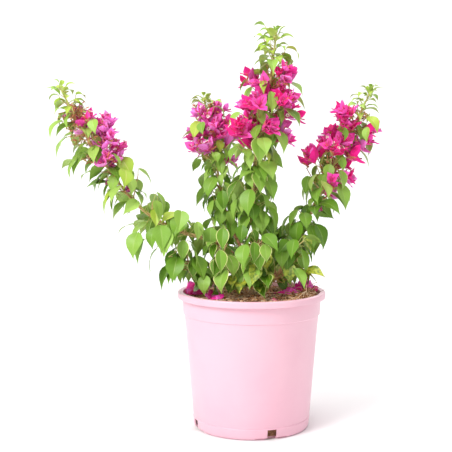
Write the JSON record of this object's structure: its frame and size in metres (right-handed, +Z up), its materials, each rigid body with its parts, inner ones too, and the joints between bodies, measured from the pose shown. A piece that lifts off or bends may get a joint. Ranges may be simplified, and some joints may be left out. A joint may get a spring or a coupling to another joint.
{
  "type": "potted bougainvillea bush",
  "caption": "Flowering bougainvillea bush with upright leafy boughs and magenta bracts, growing in a tapered pink plastic nursery pot.",
  "frame": {"origin": "centre of the pot's flat underside, on the ground", "axes": "+Z up; -Y is the front that the picture shows; +X is to the viewer's right, where the thorny bare bough leans"},
  "size_m": [0.4848, 0.21, 0.5701],
  "materials": {
    "pot": "satin",
    "potting_mix": "matte",
    "bark": "matte",
    "leaves": "satin",
    "flowers": "matte"
  },
  "bodies": {
    "root": {"pot": "pot", "potting_mix": "potting_mix", "trunk": "bark", "left_bough": "bark", "back_bough": "bark", "right_bough": "bark", "tall_bough": "bark", "left_leaves": "leaves", "tall_leaves": "leaves", "back_leaves": "leaves", "right_leaves": "leaves", "low_front_leaves": "leaves", "low_front_left_leaves": "leaves", "low_far_left_leaves": "leaves", "low_front_right_leaves": "leaves", "low_back_right_leaves": "leaves", "low_back_left_leaves": "leaves", "left_flowers": "flowers", "tall_flowers": "flowers", "back_flowers": "flowers", "right_flowers": "flowers"}
  },
  "joints": []
}
